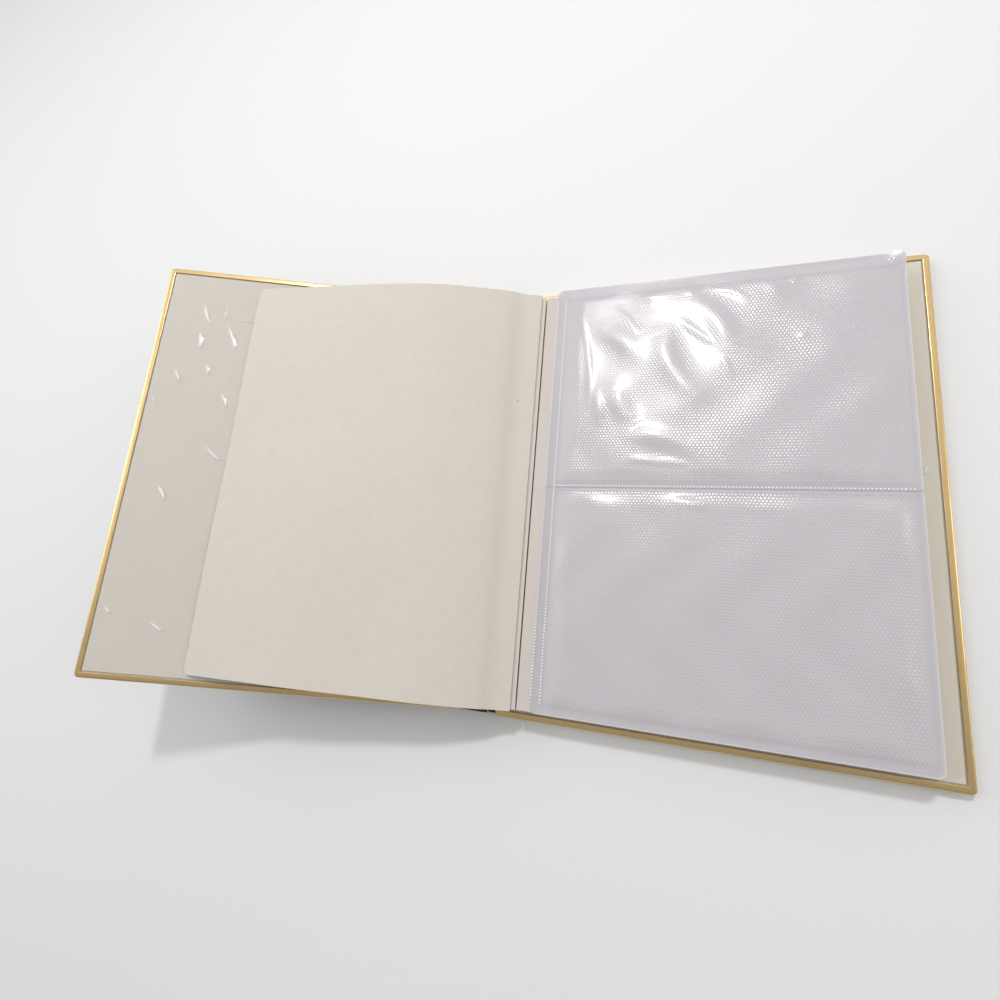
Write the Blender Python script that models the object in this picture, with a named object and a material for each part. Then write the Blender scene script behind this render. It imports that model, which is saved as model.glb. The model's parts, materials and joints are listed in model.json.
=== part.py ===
"""Photo album lying open at its first pocket leaf, its back cover flat and its front cover raised.

The spine runs along Y, the head is at +Y and the front cover opens towards -X. The sizes start from
the print that a pocket holds: the pockets size the leaves, the leaves size the covers, and the stack
of leaves sizes the spine.
"""

import math

import bmesh
import bpy

MM = 0.001

# Prints and the pockets that hold them
PRINT_LENGTH = 152.4 * MM
PRINT_HEIGHT = 101.6 * MM
POCKET_SLACK = 2.0 * MM
CARD_THICKNESS = 0.5 * MM
CARD_CLEARANCE = 0.15 * MM
CARD_END_GAP = 0.4 * MM
CARD_RADIUS = 1.5 * MM

# Clear sleeves
SHEET_THICKNESS = 0.3 * MM
GUTTER_SEAM = 2.6 * MM
DIVIDER_SEAM = 3.0 * MM
HEAD_SEAM = 5.5 * MM
TAIL_SEAM = 3.0 * MM
MOUTH_MARGIN = 2.2 * MM
SEAM_BOND = 0.1 * MM
SLEEVE_RADIUS = 3.4 * MM

# Paper tabs that carry the sleeves
TAB_SHOW = 6.0 * MM
TAB_LAP = 3.0 * MM
TAB_SEAM_GAP = 0.4 * MM
LEAF_HINGE_GAP = 0.3 * MM

# Stack of leaves and its binding
LEAF_COUNT = 6
LEAF_GAP = 0.8 * MM
STACK_LIFT = 0.4 * MM
BINDING_WIDTH = 11.0 * MM
BINDING_HEAD_INSET = 3.5 * MM
BINDING_TAIL_INSET = 0.3 * MM
BINDING_STRIP_THICKNESS = 0.5 * MM

# Flyleaf
FLYLEAF_THICKNESS = 0.5 * MM
FLYLEAF_GAP = 0.3 * MM
FLYLEAF_SETBACK = 2.3 * MM
FLYLEAF_TRIM = 0.5 * MM
FLYLEAF_HEAD_INSET = 2.0 * MM
FLYLEAF_TAIL_OVERHANG = 0.6 * MM
FLYLEAF_LIFT = 0.8 * MM
FLYLEAF_ARCH = 7.0 * MM
FLYLEAF_ROOT_SPAN = 50.0 * MM
FLYLEAF_CROWN_SPAN = 35.0 * MM
FLYLEAF_RADIUS = 3.0 * MM

# Covers
BOARD_THICKNESS = 2.4 * MM
COVERING_THICKNESS = 0.5 * MM
LINING_THICKNESS = 0.2 * MM
LINING_FILM_THICKNESS = 0.15 * MM
LINING_FILM_GAP = 0.1 * MM
FORE_EDGE_SQUARE = 14.8 * MM
HEAD_TAIL_SQUARE = 6.65 * MM
FRAME_GAUGE = 0.5 * MM
FRAME_FACE = 3.0 * MM
FRAME_RADIUS = 2.5 * MM
FRAME_SHADOW_GAP = 0.7 * MM
FRAME_HINGE_GAP = 1.0 * MM
LAYER_GAP = 0.2 * MM

# Case hinges
COVERING_HINGE_GAP = 0.3 * MM
GROOVE_CLEARANCE = 0.35 * MM
CLOSED_CLEARANCE = 0.7 * MM
FRONT_RAISE = math.radians(20.8)

ARC_STEPS = 6
CUTTER_REACH = 5.0 * MM

# Cover layers, counted from the outer face
COVERING_BOTTOM = FRAME_GAUGE + LAYER_GAP
BOARD_BOTTOM = COVERING_BOTTOM + COVERING_THICKNESS + LAYER_GAP
LINING_BOTTOM = BOARD_BOTTOM + BOARD_THICKNESS + LAYER_GAP
LINING_FILM_BOTTOM = LINING_BOTTOM + LINING_THICKNESS + LINING_FILM_GAP
COVER_THICKNESS = max(
    LINING_BOTTOM + FRAME_GAUGE,
    LINING_FILM_BOTTOM + LINING_FILM_THICKNESS,
)
HINGE_HEIGHT = COVERING_BOTTOM + COVERING_THICKNESS / 2
GROOVE = COVER_THICKNESS - HINGE_HEIGHT + GROOVE_CLEARANCE

# Sleeve plan, counted from the leaf's hinge
POCKET_HEIGHT = PRINT_HEIGHT + 2 * POCKET_SLACK
SLEEVE_HEIGHT = HEAD_SEAM + POCKET_HEIGHT + DIVIDER_SEAM + POCKET_HEIGHT + TAIL_SEAM
SLEEVE_HEAD = SLEEVE_HEIGHT / 2
SLEEVE_TAIL = -SLEEVE_HEIGHT / 2
DIVIDER_TOP = SLEEVE_HEAD - HEAD_SEAM - POCKET_HEIGHT
DIVIDER_FOOT = DIVIDER_TOP - DIVIDER_SEAM
SLEEVE_START = TAB_SHOW
TAB_END = SLEEVE_START + TAB_LAP
BINDING_HEAD = SLEEVE_HEAD - BINDING_HEAD_INSET
BINDING_TAIL = SLEEVE_TAIL + BINDING_TAIL_INSET
SEAM_START = SLEEVE_START + max(TAB_LAP + TAB_SEAM_GAP, SLEEVE_RADIUS)
POCKET_START = SEAM_START + GUTTER_SEAM
CARD_START = POCKET_START + CARD_END_GAP
SLEEVE_END = CARD_START + PRINT_LENGTH + MOUTH_MARGIN

# Leaf layers, counted down from the leaf's top face
POCKET_DEPTH = CARD_THICKNESS + 2 * CARD_CLEARANCE
LEAF_THICKNESS = POCKET_DEPTH + 2 * SHEET_THICKNESS
LEAF_PITCH = LEAF_THICKNESS + LEAF_GAP
SEAM_THICKNESS = POCKET_DEPTH - 2 * SEAM_BOND
STACK_TOP = (
    COVER_THICKNESS + STACK_LIFT + (LEAF_COUNT - 1) * LEAF_PITCH + LEAF_THICKNESS
)

# Places across the album, counted from the back hinge
LEAF_HINGE = GROOVE + BINDING_WIDTH + LEAF_HINGE_GAP / 2
COVER_WIDTH = LEAF_HINGE + SLEEVE_END + FORE_EDGE_SQUARE
COVER_HEIGHT = SLEEVE_HEIGHT + 2 * HEAD_TAIL_SQUARE
FLYLEAF_HINGE = GROOVE + BINDING_WIDTH - FLYLEAF_SETBACK
FLYLEAF_HINGE_HEIGHT = STACK_TOP + FLYLEAF_GAP + FLYLEAF_THICKNESS / 2
FLYLEAF_LENGTH = LEAF_HINGE + SLEEVE_END - FLYLEAF_TRIM - FLYLEAF_HINGE
CLOSED_INNER_FACE = FLYLEAF_HINGE_HEIGHT + FLYLEAF_THICKNESS / 2 + CLOSED_CLEARANCE
SPINE_SPAN = CLOSED_INNER_FACE + COVER_THICKNESS - 2 * HINGE_HEIGHT

# The middle of the open album's length is the origin
OPEN_REACH = (
    SPINE_SPAN
    + COVER_WIDTH * math.cos(FRONT_RAISE)
    + HINGE_HEIGHT * math.sin(FRONT_RAISE)
)
BACK_HINGE = (OPEN_REACH - COVER_WIDTH) / 2
FRONT_HINGE = BACK_HINGE - SPINE_SPAN

COLOURS = {
    "gold": ((0.62, 0.44, 0.19), 0.28, 1.0),
    "board": ((0.42, 0.39, 0.33), 0.90, 0.0),
    "covering": ((0.11, 0.030, 0.026), 0.55, 0.0),
    "lining": ((0.70, 0.66, 0.56), 0.60, 0.0),
    "clear film": ((0.86, 0.87, 0.90), 0.08, 0.0),
    "cream paper": ((0.72, 0.67, 0.57), 0.75, 0.0),
    "white card": ((0.82, 0.82, 0.85), 0.55, 0.0),
}


def clear_scene():
    """Remove whatever the scene holds."""
    for obj in list(bpy.data.objects):
        bpy.data.objects.remove(obj, do_unlink=True)


def collection(name):
    """A new collection under the scene's own."""
    made = bpy.data.collections.new(name)
    bpy.context.scene.collection.children.link(made)
    return made


def material(name, finish):
    """A Principled material for one part."""
    colour, roughness, metallic = COLOURS[finish]
    made = bpy.data.materials.new(name)
    made.use_nodes = True
    shader = made.node_tree.nodes["Principled BSDF"]
    shader.inputs["Base Color"].default_value = (*colour, 1.0)
    shader.inputs["Roughness"].default_value = roughness
    shader.inputs["Metallic"].default_value = metallic
    return made


def rounded(corners):
    """Outline points through (x, y, radius) corners listed anticlockwise, each turned on its arc."""
    points = []
    for index, (x, y, radius) in enumerate(corners):
        before = corners[index - 1]
        after = corners[(index + 1) % len(corners)]
        if radius <= 0:
            points.append((x, y))
            continue
        start = math.atan2(before[1] - y, before[0] - x)
        end = math.atan2(after[1] - y, after[0] - x)
        turn = (start - end + math.pi) % (2 * math.pi) - math.pi
        reach = radius / math.tan(abs(turn) / 2)
        middle = end + turn / 2
        away = radius / math.sin(abs(turn) / 2)
        centre = (x + away * math.cos(middle), y + away * math.sin(middle))
        first = (x + reach * math.cos(start), y + reach * math.sin(start))
        last = (x + reach * math.cos(end), y + reach * math.sin(end))
        begin = math.atan2(first[1] - centre[1], first[0] - centre[0])
        finish = math.atan2(last[1] - centre[1], last[0] - centre[0])
        swing = (finish - begin + math.pi) % (2 * math.pi) - math.pi
        for step in range(ARC_STEPS + 1):
            angle = begin + swing * step / ARC_STEPS
            points.append(
                (centre[0] + radius * math.cos(angle), centre[1] + radius * math.sin(angle))
            )
    return points


def rectangle(x0, x1, y0, y1, near=0.0, far=0.0):
    """A rectangle's outline, its corners at x0 rounded by near and those at x1 by far."""
    return rounded([(x0, y0, near), (x1, y0, far), (x1, y1, far), (x0, y1, near)])


def mirrored(points):
    """The outline with X turned round."""
    return [(-x, y) for x, y in reversed(points)]


class Album:
    """The album's objects, each placed under the empty on the axis that it turns about."""

    def __init__(self):
        clear_scene()
        self.parts = collection("Photo album")
        self.cutters = collection("Cutters")

    def axis(self, name, place, turn=0.0, parent=None):
        """An empty on a hinge line, turned by an angle about Y."""
        empty = bpy.data.objects.new(name, None)
        empty.empty_display_size = 10 * MM
        empty.location = place
        empty.rotation_euler = (0.0, turn, 0.0)
        empty.parent = parent
        self.parts.objects.link(empty)
        return empty

    def slab(self, name, outline, bottom, top, parent, finish):
        """A flat piece: an outline extruded between two heights."""
        curve = bpy.data.curves.new(name, "CURVE")
        curve.dimensions = "2D"
        curve.fill_mode = "BOTH"
        curve.extrude = (top - bottom) / 2
        spline = curve.splines.new("POLY")
        spline.points.add(len(outline) - 1)
        for point, (x, y) in zip(spline.points, outline):
            point.co = (x, y, 0.0, 1.0)
        spline.use_cyclic_u = True
        obj = bpy.data.objects.new(name, curve)
        obj.location = (0.0, 0.0, (bottom + top) / 2)
        obj.parent = parent
        self.parts.objects.link(obj)
        if finish:
            curve.materials.append(material(name, finish))
        return obj

    def solid(self, obj):
        """The slab as a mesh with welded caps, which can be cut."""
        bpy.context.view_layer.update()
        graph = bpy.context.evaluated_depsgraph_get()
        mesh = bpy.data.meshes.new_from_object(obj.evaluated_get(graph))
        edit = bmesh.new()
        edit.from_mesh(mesh)
        bmesh.ops.remove_doubles(edit, verts=edit.verts, dist=1e-6)
        bmesh.ops.recalc_face_normals(edit, faces=edit.faces)
        edit.to_mesh(mesh)
        edit.free()
        name = obj.name
        place, parent = obj.location.copy(), obj.parent
        bpy.data.objects.remove(obj, do_unlink=True)
        made = bpy.data.objects.new(name, mesh)
        made.location = place
        made.parent = parent
        self.parts.objects.link(made)
        return made

    def cut(self, obj, cutter):
        """Take the cutter's shape out of a solid."""
        self.parts.objects.unlink(cutter)
        self.cutters.objects.link(cutter)
        cutter.hide_render = True
        cutter.display_type = "WIRE"
        modifier = obj.modifiers.new("Cut", "BOOLEAN")
        modifier.operation = "DIFFERENCE"
        modifier.solver = "EXACT"
        modifier.object = cutter

    def block(self, name, low, high, parent, finish):
        """A plain box between two corners."""
        size = [high[i] - low[i] for i in range(3)]
        mesh = bpy.data.meshes.new(name)
        edit = bmesh.new()
        bmesh.ops.create_cube(edit, size=1.0)
        bmesh.ops.scale(edit, vec=size, verts=edit.verts)
        edit.to_mesh(mesh)
        edit.free()
        mesh.materials.append(material(name, finish))
        obj = bpy.data.objects.new(name, mesh)
        obj.location = [(low[i] + high[i]) / 2 for i in range(3)]
        obj.parent = parent
        self.parts.objects.link(obj)
        return obj

    def cover(self, side, axis, across):
        """Board, covering, lining, lining film and metal edge of one cover, lying out from its hinge.

        The empty stands on the hinge line, so heights are counted from it. across is the identity for
        the cover that lies towards +X and mirrored for the one towards -X.
        """
        base = -HINGE_HEIGHT
        inside = FRAME_GAUGE + LAYER_GAP
        half = COVER_HEIGHT / 2
        inner_radius = max(FRAME_RADIUS - inside, 0.0)
        board = rectangle(
            GROOVE, COVER_WIDTH - inside, -half + inside, half - inside, far=inner_radius
        )
        covering = rectangle(
            COVERING_HINGE_GAP,
            COVER_WIDTH - inside,
            -half + inside,
            half - inside,
            far=inner_radius,
        )
        window = FRAME_FACE + FRAME_SHADOW_GAP
        lining = rectangle(GROOVE, COVER_WIDTH - window, -half + window, half - window)
        self.slab(
            side + "_board",
            across(board),
            base + BOARD_BOTTOM,
            base + BOARD_BOTTOM + BOARD_THICKNESS,
            axis,
            "board",
        )
        self.slab(
            side + "_covering",
            across(covering),
            base + COVERING_BOTTOM,
            base + COVERING_BOTTOM + COVERING_THICKNESS,
            axis,
            "covering",
        )
        self.slab(
            side + "_lining",
            across(lining),
            base + LINING_BOTTOM,
            base + LINING_BOTTOM + LINING_THICKNESS,
            axis,
            "lining",
        )
        self.slab(
            side + "_lining_film",
            across(lining),
            base + LINING_FILM_BOTTOM,
            base + LINING_FILM_BOTTOM + LINING_FILM_THICKNESS,
            axis,
            "clear film",
        )
        edge = rounded(
            [
                (FRAME_HINGE_GAP, -half, 0.0),
                (COVER_WIDTH, -half, FRAME_RADIUS),
                (COVER_WIDTH, half, FRAME_RADIUS),
                (FRAME_HINGE_GAP, half, 0.0),
                (FRAME_HINGE_GAP, half - FRAME_FACE, 0.0),
                (COVER_WIDTH - FRAME_FACE, half - FRAME_FACE, 0.0),
                (COVER_WIDTH - FRAME_FACE, -half + FRAME_FACE, 0.0),
                (FRAME_HINGE_GAP, -half + FRAME_FACE, 0.0),
            ]
        )
        slot = rectangle(
            FRAME_HINGE_GAP - CUTTER_REACH,
            COVER_WIDTH - FRAME_GAUGE,
            -half + FRAME_GAUGE,
            half - FRAME_GAUGE,
            far=max(FRAME_RADIUS - FRAME_GAUGE, 0.0),
        )
        name = side + "_edge_frame"
        frame = self.solid(
            self.slab(name, across(edge), base, base + COVER_THICKNESS, axis, None)
        )
        frame.data.materials.append(material(name, "gold"))
        cutter = self.solid(
            self.slab(
                side + "_edge_slot",
                across(slot),
                base + FRAME_GAUGE,
                base + COVER_THICKNESS - FRAME_GAUGE,
                axis,
                None,
            )
        )
        self.cut(frame, cutter)

    def spine(self, axis):
        """Spine board, its covering and its lining, lying between the two hinge lines."""
        base = -HINGE_HEIGHT
        inside = FRAME_GAUGE + LAYER_GAP
        half = COVER_HEIGHT / 2 - inside
        self.block(
            "spine_board",
            (-SPINE_SPAN + GROOVE, -half, base + BOARD_BOTTOM),
            (-GROOVE, half, base + BOARD_BOTTOM + BOARD_THICKNESS),
            axis,
            "board",
        )
        self.block(
            "spine_covering",
            (-SPINE_SPAN + COVERING_HINGE_GAP, -half, base + COVERING_BOTTOM),
            (-COVERING_HINGE_GAP, half, base + COVERING_BOTTOM + COVERING_THICKNESS),
            axis,
            "covering",
        )
        self.block(
            "spine_lining",
            (-SPINE_SPAN + GROOVE, -half, base + LINING_BOTTOM),
            (-GROOVE, half, base + LINING_BOTTOM + LINING_THICKNESS),
            axis,
            "covering",
        )

    def binding(self, axis):
        """The leaves' gathered stubs on the back cover, and the paper strip over them."""
        base = -HINGE_HEIGHT
        strip_bottom = STACK_TOP - BINDING_STRIP_THICKNESS
        self.block(
            "binding_block",
            (GROOVE, BINDING_TAIL, base + COVER_THICKNESS + LAYER_GAP),
            (GROOVE + BINDING_WIDTH, BINDING_HEAD, base + strip_bottom - LAYER_GAP),
            axis,
            "cream paper",
        )
        self.block(
            "binding_strip",
            (GROOVE, BINDING_TAIL, base + strip_bottom),
            (GROOVE + BINDING_WIDTH, BINDING_HEAD, base + STACK_TOP),
            axis,
            "cream paper",
        )

    def flyleaf(self):
        """The paper flyleaf, turned over to the left in three strips that arch up from the gutter.

        The strips follow the chord from the hinge to the free edge, which lies just off the front
        cover. The first climbs to the arch's height, the second runs beside the chord and the third
        comes down to it again.
        """
        across = BACK_HINGE + FLYLEAF_HINGE - FRONT_HINGE
        up = FLYLEAF_HINGE_HEIGHT - HINGE_HEIGHT
        above = across * math.sin(FRONT_RAISE) + up * math.cos(FRONT_RAISE)
        above -= COVER_THICKNESS - HINGE_HEIGHT
        fall = above - FLYLEAF_LIFT - FLYLEAF_THICKNESS / 2
        rise = FRONT_RAISE - math.asin(fall / FLYLEAF_LENGTH)
        outer_span = FLYLEAF_LENGTH - FLYLEAF_ROOT_SPAN - FLYLEAF_CROWN_SPAN
        climb = math.atan2(FLYLEAF_ARCH, FLYLEAF_ROOT_SPAN)
        descent = math.atan2(FLYLEAF_ARCH, outer_span)
        strips = (
            ("flyleaf", math.hypot(FLYLEAF_ARCH, FLYLEAF_ROOT_SPAN), rise + climb, 0.0),
            ("flyleaf_middle", FLYLEAF_CROWN_SPAN, -climb, 0.0),
            ("flyleaf_outer", math.hypot(FLYLEAF_ARCH, outer_span), -descent, FLYLEAF_RADIUS),
        )
        half = FLYLEAF_THICKNESS / 2
        tail = SLEEVE_TAIL - FLYLEAF_TAIL_OVERHANG
        head = SLEEVE_HEAD - FLYLEAF_HEAD_INSET
        place = (BACK_HINGE + FLYLEAF_HINGE, 0.0, FLYLEAF_HINGE_HEIGHT)
        axis = None
        for name, length, turn, radius in strips:
            axis = self.axis(name + "_axis", place, turn, axis)
            outline = rectangle(FLYLEAF_GAP, length, tail, head, far=radius)
            self.slab(name, mirrored(outline), -half, half, axis, "cream paper")
            place = (-length, 0.0, 0.0)

    def leaf(self, number):
        """One leaf: a paper tab, two clear sheets seamed round two pockets, and a card in each pocket."""
        top = STACK_TOP - (number - 1) * LEAF_PITCH
        axis = self.axis(f"leaf_{number}_axis", (BACK_HINGE + LEAF_HINGE, 0.0, top))
        name = f"leaf_{number}_"
        sheet = rectangle(
            SLEEVE_START, SLEEVE_END, SLEEVE_TAIL, SLEEVE_HEAD, SLEEVE_RADIUS, SLEEVE_RADIUS
        )
        pocket_top = -SHEET_THICKNESS
        pocket_foot = pocket_top - POCKET_DEPTH
        self.slab(name + "front_film", sheet, pocket_top, 0.0, axis, "clear film")
        self.slab(
            name + "back_film", sheet, -LEAF_THICKNESS, pocket_foot, axis, "clear film"
        )
        seam_top = pocket_top - SEAM_BOND
        seam_foot = seam_top - SEAM_THICKNESS
        seam_end = SLEEVE_END - SLEEVE_RADIUS
        seams = [
            (SEAM_START, SLEEVE_TAIL),
            (seam_end, SLEEVE_TAIL),
            (seam_end, SLEEVE_TAIL + TAIL_SEAM),
            (POCKET_START, SLEEVE_TAIL + TAIL_SEAM),
            (POCKET_START, DIVIDER_FOOT),
            (seam_end, DIVIDER_FOOT),
            (seam_end, DIVIDER_TOP),
            (POCKET_START, DIVIDER_TOP),
            (POCKET_START, SLEEVE_HEAD - HEAD_SEAM),
            (seam_end, SLEEVE_HEAD - HEAD_SEAM),
            (seam_end, SLEEVE_HEAD),
            (SEAM_START, SLEEVE_HEAD),
        ]
        self.slab(name + "seams", seams, seam_foot, seam_top, axis, "clear film")
        self.block(
            name + "tab",
            (LEAF_HINGE_GAP / 2, BINDING_TAIL, seam_foot),
            (TAB_END, BINDING_HEAD, seam_top),
            axis,
            "cream paper",
        )
        card_top = pocket_top - CARD_CLEARANCE
        for row, foot in (
            ("upper", DIVIDER_TOP + POCKET_SLACK),
            ("lower", SLEEVE_TAIL + TAIL_SEAM + POCKET_SLACK),
        ):
            outline = rectangle(
                CARD_START,
                CARD_START + PRINT_LENGTH,
                foot,
                foot + PRINT_HEIGHT,
                CARD_RADIUS,
                CARD_RADIUS,
            )
            self.slab(
                f"{name}{row}_card",
                outline,
                card_top - CARD_THICKNESS,
                card_top,
                axis,
                "white card",
            )

    def build(self):
        """Lay the back cover down and add everything that it carries."""
        back = self.axis("back_hinge_axis", (BACK_HINGE, 0.0, HINGE_HEIGHT))
        front = self.axis("front_hinge_axis", (FRONT_HINGE, 0.0, HINGE_HEIGHT), FRONT_RAISE)
        self.cover("back", back, list)
        self.binding(back)
        self.spine(back)
        self.cover("front", front, mirrored)
        self.flyleaf()
        for number in range(1, LEAF_COUNT + 1):
            self.leaf(number)


Album().build()
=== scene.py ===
"""Looks of a photo album that lies open at its first pocket leaf.

The spine runs along Y with the head at +Y. The back cover lies flat towards +X and carries six clear
pocket leaves. The front cover is raised towards -X, and a paper flyleaf is turned over on to it. The
hinge lines come from the frame's joints and the sizes from its nodes.
"""

import json
import logging
import math
from dataclasses import dataclass, field
from enum import Enum
from functools import cache
from typing import Any

import bpy
import numpy as np
from mathutils import Matrix, Vector


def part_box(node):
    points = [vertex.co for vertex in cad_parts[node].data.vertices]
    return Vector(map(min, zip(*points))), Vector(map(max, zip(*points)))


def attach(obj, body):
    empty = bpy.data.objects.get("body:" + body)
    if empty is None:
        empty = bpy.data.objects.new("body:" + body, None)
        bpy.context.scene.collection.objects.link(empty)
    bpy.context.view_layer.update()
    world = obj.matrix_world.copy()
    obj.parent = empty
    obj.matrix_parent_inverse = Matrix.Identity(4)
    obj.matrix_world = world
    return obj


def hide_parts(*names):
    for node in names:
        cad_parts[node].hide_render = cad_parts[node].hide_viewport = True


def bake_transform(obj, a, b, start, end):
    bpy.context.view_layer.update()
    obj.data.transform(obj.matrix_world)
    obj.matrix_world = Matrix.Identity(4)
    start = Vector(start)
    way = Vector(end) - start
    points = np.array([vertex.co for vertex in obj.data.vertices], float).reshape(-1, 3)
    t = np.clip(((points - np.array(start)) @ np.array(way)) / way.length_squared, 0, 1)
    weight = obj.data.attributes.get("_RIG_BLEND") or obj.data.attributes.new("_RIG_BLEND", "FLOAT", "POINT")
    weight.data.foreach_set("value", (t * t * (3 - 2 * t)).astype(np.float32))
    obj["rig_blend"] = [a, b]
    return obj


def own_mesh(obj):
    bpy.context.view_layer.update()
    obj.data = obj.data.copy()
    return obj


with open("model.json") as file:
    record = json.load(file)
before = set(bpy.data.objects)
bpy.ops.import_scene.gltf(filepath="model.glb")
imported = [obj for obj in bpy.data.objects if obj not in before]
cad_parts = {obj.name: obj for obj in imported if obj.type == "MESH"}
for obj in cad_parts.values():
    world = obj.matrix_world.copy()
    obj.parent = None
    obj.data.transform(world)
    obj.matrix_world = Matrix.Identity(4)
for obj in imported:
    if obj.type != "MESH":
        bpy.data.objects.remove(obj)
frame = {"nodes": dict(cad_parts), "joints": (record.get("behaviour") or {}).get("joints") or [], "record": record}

Array = np.ndarray
Colour = tuple[float, float, float]
MM = 0.001
log = logging.getLogger("photo_album")


# Values on sockets, and the recipes that are made of them

class Value:
    """What a socket gives: arithmetic on it adds Math nodes to its recipe."""

    def __init__(self, recipe: "Recipe", socket: bpy.types.NodeSocket) -> None:
        """Keep the socket and the recipe that it belongs to."""
        self.recipe = recipe
        self.socket = socket

    def math(self, operation: str, *others: "Value | float") -> "Value":
        """A Math node on this value and up to two others."""
        return self.recipe.math(operation, self, *others)

    def __add__(self, other: "Value | float") -> "Value":
        """This value plus another."""
        return self.math("ADD", other)

    __radd__ = __add__

    def __sub__(self, other: "Value | float") -> "Value":
        """This value less another."""
        return self.math("SUBTRACT", other)

    def __rsub__(self, other: float) -> "Value":
        """A number less this value."""
        return self.recipe.math("SUBTRACT", other, self)

    def __mul__(self, other: "Value | float") -> "Value":
        """This value times another."""
        return self.math("MULTIPLY", other)

    __rmul__ = __mul__

    def __truediv__(self, other: "Value | float") -> "Value":
        """This value over another."""
        return self.math("DIVIDE", other)


class Recipe:
    """The node tree of a material, or of the sky, while it is being put together."""

    def __init__(self, owner: bpy.types.Material | bpy.types.World, shader: str) -> None:
        """Start from the shader that a new tree holds.

        Args:
            owner: the material or the world.
            shader: the shader's name.
        """
        owner.use_nodes = True
        self.owner = owner
        self.tree = owner.node_tree
        self.shader = self.tree.nodes[shader]

    @classmethod
    def material(cls, name: str) -> "Recipe":
        """Start a new material with a Principled shader."""
        return cls(bpy.data.materials.new(name), "Principled BSDF")

    def feed(self, socket: bpy.types.NodeSocket, value: Any) -> None:
        """Link a value to a socket, or set the socket to a number, a colour or a vector.

        Args:
            socket: the input to feed.
            value: a Value to link, a number, or a tuple of three numbers.
        """
        if isinstance(value, Value):
            self.tree.links.new(value.socket, socket)
        elif isinstance(value, tuple) and socket.type == "RGBA":
            socket.default_value = (*value, 1.0)
        else:
            socket.default_value = value

    def node(
        self,
        kind: str,
        settings: dict[str, Any] | None = None,
        inputs: dict[str | int, Any] | None = None,
        output: str | int = 0,
    ) -> Value:
        """Add a node.

        Args:
            kind: the node's type.
            settings: what is set on the node first, such as a Math node's operation.
            inputs: the values or links of its sockets.
            output: the socket that is wanted.

        Returns:
            The value that the output socket gives.
        """
        made = self.tree.nodes.new(kind)
        for key, value in (settings or {}).items():
            setattr(made, key, value)
        for key, value in (inputs or {}).items():
            self.feed(made.inputs[key], value)
        return Value(self, made.outputs[output])

    def math(self, operation: str, *values: "Value | float") -> Value:
        """A Math node on up to three values."""
        return self.node("ShaderNodeMath", {"operation": operation}, dict(enumerate(values)))

    def place(self) -> Value:
        """The point's Object coordinates, in metres."""
        return self.node("ShaderNodeTexCoord", output="Object")

    def stretched(self, scale: tuple[float, float, float]) -> Value:
        """Object coordinates stretched along each axis."""
        return self.node("ShaderNodeMapping", inputs={"Vector": self.place(), "Scale": scale})

    def noise(self, scale: float, detail: float = 4.0, at: Value | None = None) -> Value:
        """Cloudy noise from 0 to 1, with scale patches to the metre."""
        inputs = {"Vector": at or self.place(), "Scale": scale, "Detail": detail}
        return self.node("ShaderNodeTexNoise", inputs=inputs)

    def cells(self, scale: float) -> Value:
        """Distance to the nearest edge of scattered cells, with scale cells to the metre."""
        inputs = {"Vector": self.place(), "Scale": scale}
        return self.node("ShaderNodeTexVoronoi", {"feature": "DISTANCE_TO_EDGE"}, inputs, "Distance")

    def attribute(self, name: str) -> Value:
        """A number that the mesh carries at its points."""
        return self.node("ShaderNodeAttribute", {"attribute_name": name}, output="Fac")

    def span(self, value: Value, low: float, high: float) -> Value:
        """0 below low, 1 above high and a smooth rise between."""
        inputs = {"Value": value, "From Min": low, "From Max": high}
        return self.node("ShaderNodeMapRange", {"interpolation_type": "SMOOTHSTEP"}, inputs)

    def mix(self, factor: Value, first: Any, second: Any) -> Value:
        """A colour between two colours."""
        return self.node("ShaderNodeMix", {"data_type": "RGBA"}, {0: factor, 6: first, 7: second}, 2)

    def bump(self, height: Value, depth: float, strength: float = 1.0) -> None:
        """Emboss the surface.

        Args:
            height: a value from 0 to 1.
            depth: the real height of 1, in metres.
            strength: how much of it shows.
        """
        inputs = {"Height": height, "Distance": depth, "Strength": strength}
        self.set(Normal=self.node("ShaderNodeBump", inputs=inputs))

    def set(self, **inputs: Any) -> None:
        """Feed the shader's sockets, with _ for the spaces in their names."""
        for key, value in inputs.items():
            self.feed(self.shader.inputs[key.replace("_", " ")], value)


# Finishes

@dataclass(frozen=True)
class Finish:
    """A surface finish. Each kind says how its material is mixed."""

    name: str

    def mix(self, recipe: Recipe) -> None:
        """Put the finish's nodes into a recipe, which each kind does in its own way."""
        raise NotImplementedError

    @cache
    def material(self) -> bpy.types.Material:
        """Mix the finish at its first use, and keep it.

        Returns:
            The finish's material.
        """
        recipe = Recipe.material(self.name)
        self.mix(recipe)
        return recipe.owner


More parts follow.
